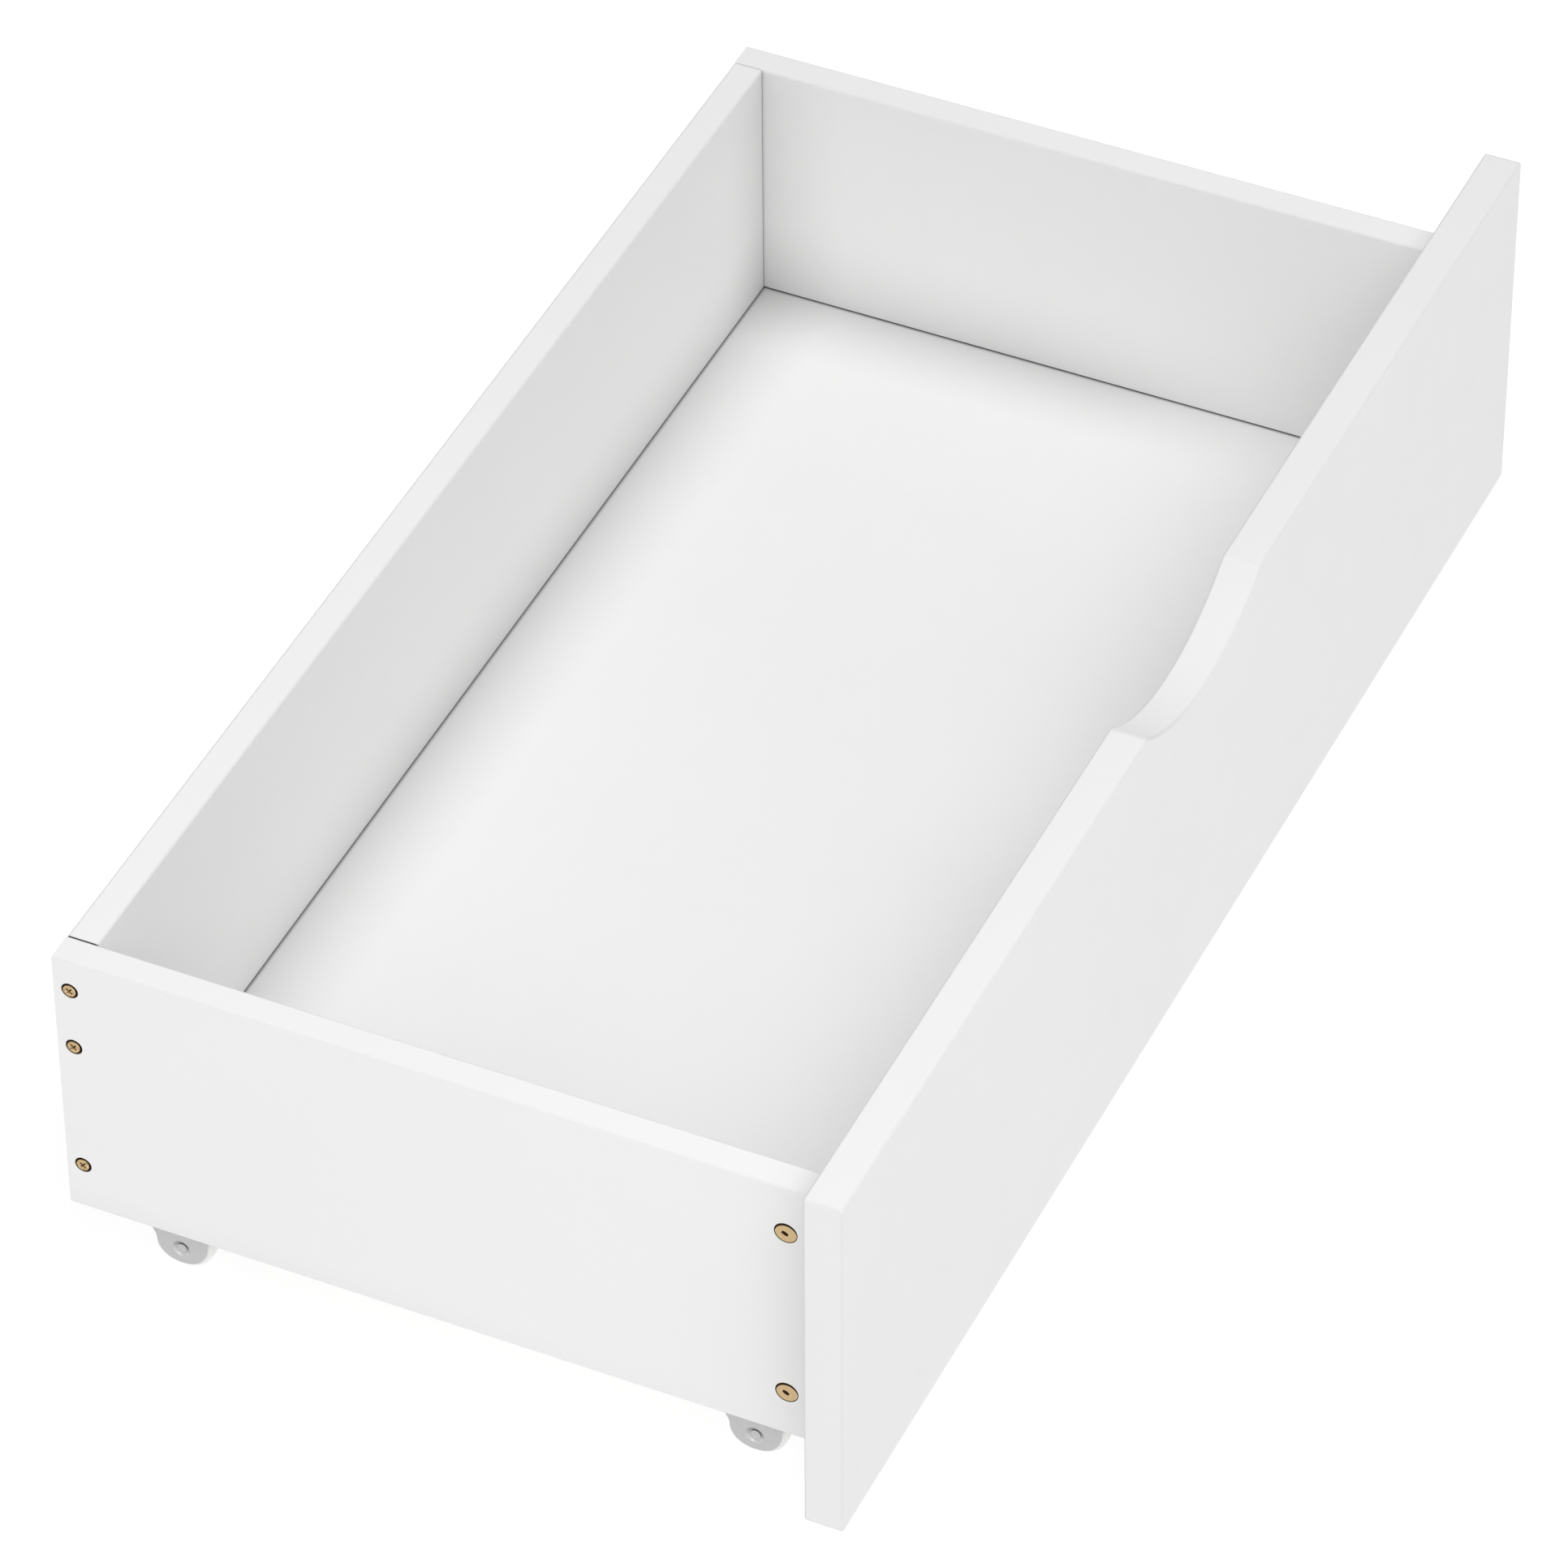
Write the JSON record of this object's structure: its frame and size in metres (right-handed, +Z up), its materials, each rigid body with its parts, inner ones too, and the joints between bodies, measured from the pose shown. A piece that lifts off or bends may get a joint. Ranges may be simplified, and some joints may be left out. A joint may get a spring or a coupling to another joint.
{
  "type": "under bed box",
  "caption": "Low rolling storage drawer for under a bed: open board box, taller overhanging front with a curved hand cut-out, fixed castors.",
  "frame": {"origin": "on the floor under the middle of the object's box, where the castor wheels stand", "axes": "+Z up, the front panel faces -Y, +X to the right of a person facing the front; the drawer rolls along Y"},
  "size_m": [0.94, 0.469, 0.25],
  "materials": {
    "white_lacquer": "smooth satin white lacquer on board",
    "primed_board": "matt white primer on board, unseen undersides",
    "beech": "bare beech, fluted",
    "brass_fastener": "yellow passivated steel, satin",
    "zinc_steel": "bright zinc plate, slightly dull",
    "white_nylon": "moulded white nylon"
  },
  "bodies": {
    "drawer": {"front_panel": "white_lacquer", "left_side_panel": "white_lacquer", "right_side_panel": "white_lacquer", "back_panel": "white_lacquer", "bottom_panel": "white_lacquer", "left_caster_rail": "primed_board", "right_caster_rail": "primed_board", "centre_support_rail": "primed_board", "left_lower_cam": "brass_fastener", "left_lower_cam_bolt": "zinc_steel", "left_lower_dowel": "beech", "left_upper_cam": "brass_fastener", "left_upper_cam_bolt": "zinc_steel", "left_upper_dowel": "beech", "left_lower_rear_screw": "brass_fastener", "left_middle_rear_screw": "brass_fastener", "left_upper_rear_screw": "brass_fastener", "right_lower_cam": "brass_fastener", "right_lower_cam_bolt": "zinc_steel", "right_lower_dowel": "beech", "right_upper_cam": "brass_fastener", "right_upper_cam_bolt": "zinc_steel", "right_upper_dowel": "beech", "right_lower_rear_screw": "brass_fastener", "right_middle_rear_screw": "brass_fastener", "right_upper_rear_screw": "brass_fastener", "front_left_caster_bracket": "zinc_steel", "front_left_caster_axle": "zinc_steel", "front_left_caster_screw_1": "zinc_steel", "front_left_caster_screw_2": "zinc_steel", "front_left_caster_screw_3": "zinc_steel", "front_left_caster_screw_4": "zinc_steel", "front_right_caster_bracket": "zinc_steel", "front_right_caster_axle": "zinc_steel", "front_right_caster_screw_1": "zinc_steel", "front_right_caster_screw_2": "zinc_steel", "front_right_caster_screw_3": "zinc_steel", "front_right_caster_screw_4": "zinc_steel", "rear_left_caster_bracket": "zinc_steel", "rear_left_caster_axle": "zinc_steel", "rear_left_caster_screw_1": "zinc_steel", "rear_left_caster_screw_2": "zinc_steel", "rear_left_caster_screw_3": "zinc_steel", "rear_left_caster_screw_4": "zinc_steel", "rear_right_caster_bracket": "zinc_steel", "rear_right_caster_axle": "zinc_steel", "rear_right_caster_screw_1": "zinc_steel", "rear_right_caster_screw_2": "zinc_steel", "rear_right_caster_screw_3": "zinc_steel", "rear_right_caster_screw_4": "zinc_steel"},
    "front_left_wheel": {"front_left_caster_wheel": "white_nylon"},
    "front_right_wheel": {"front_right_caster_wheel": "white_nylon"},
    "rear_left_wheel": {"rear_left_caster_wheel": "white_nylon"},
    "rear_right_wheel": {"rear_right_caster_wheel": "white_nylon"}
  },
  "joints": [
    {"name": "front_left_wheel_spin", "type": "hinge", "parent": "drawer", "child": "front_left_wheel", "pos_m": [-0.4122, -0.1625, 0.016], "axis": [1, 0, 0], "continuous": true},
    {"name": "front_right_wheel_spin", "type": "hinge", "parent": "drawer", "child": "front_right_wheel", "pos_m": [0.4122, -0.1625, 0.016], "axis": [1, 0, 0], "continuous": true},
    {"name": "rear_left_wheel_spin", "type": "hinge", "parent": "drawer", "child": "rear_left_wheel", "pos_m": [-0.4122, 0.1745, 0.016], "axis": [1, 0, 0], "continuous": true},
    {"name": "rear_right_wheel_spin", "type": "hinge", "parent": "drawer", "child": "rear_right_wheel", "pos_m": [0.4122, 0.1745, 0.016], "axis": [1, 0, 0], "continuous": true}
  ]
}
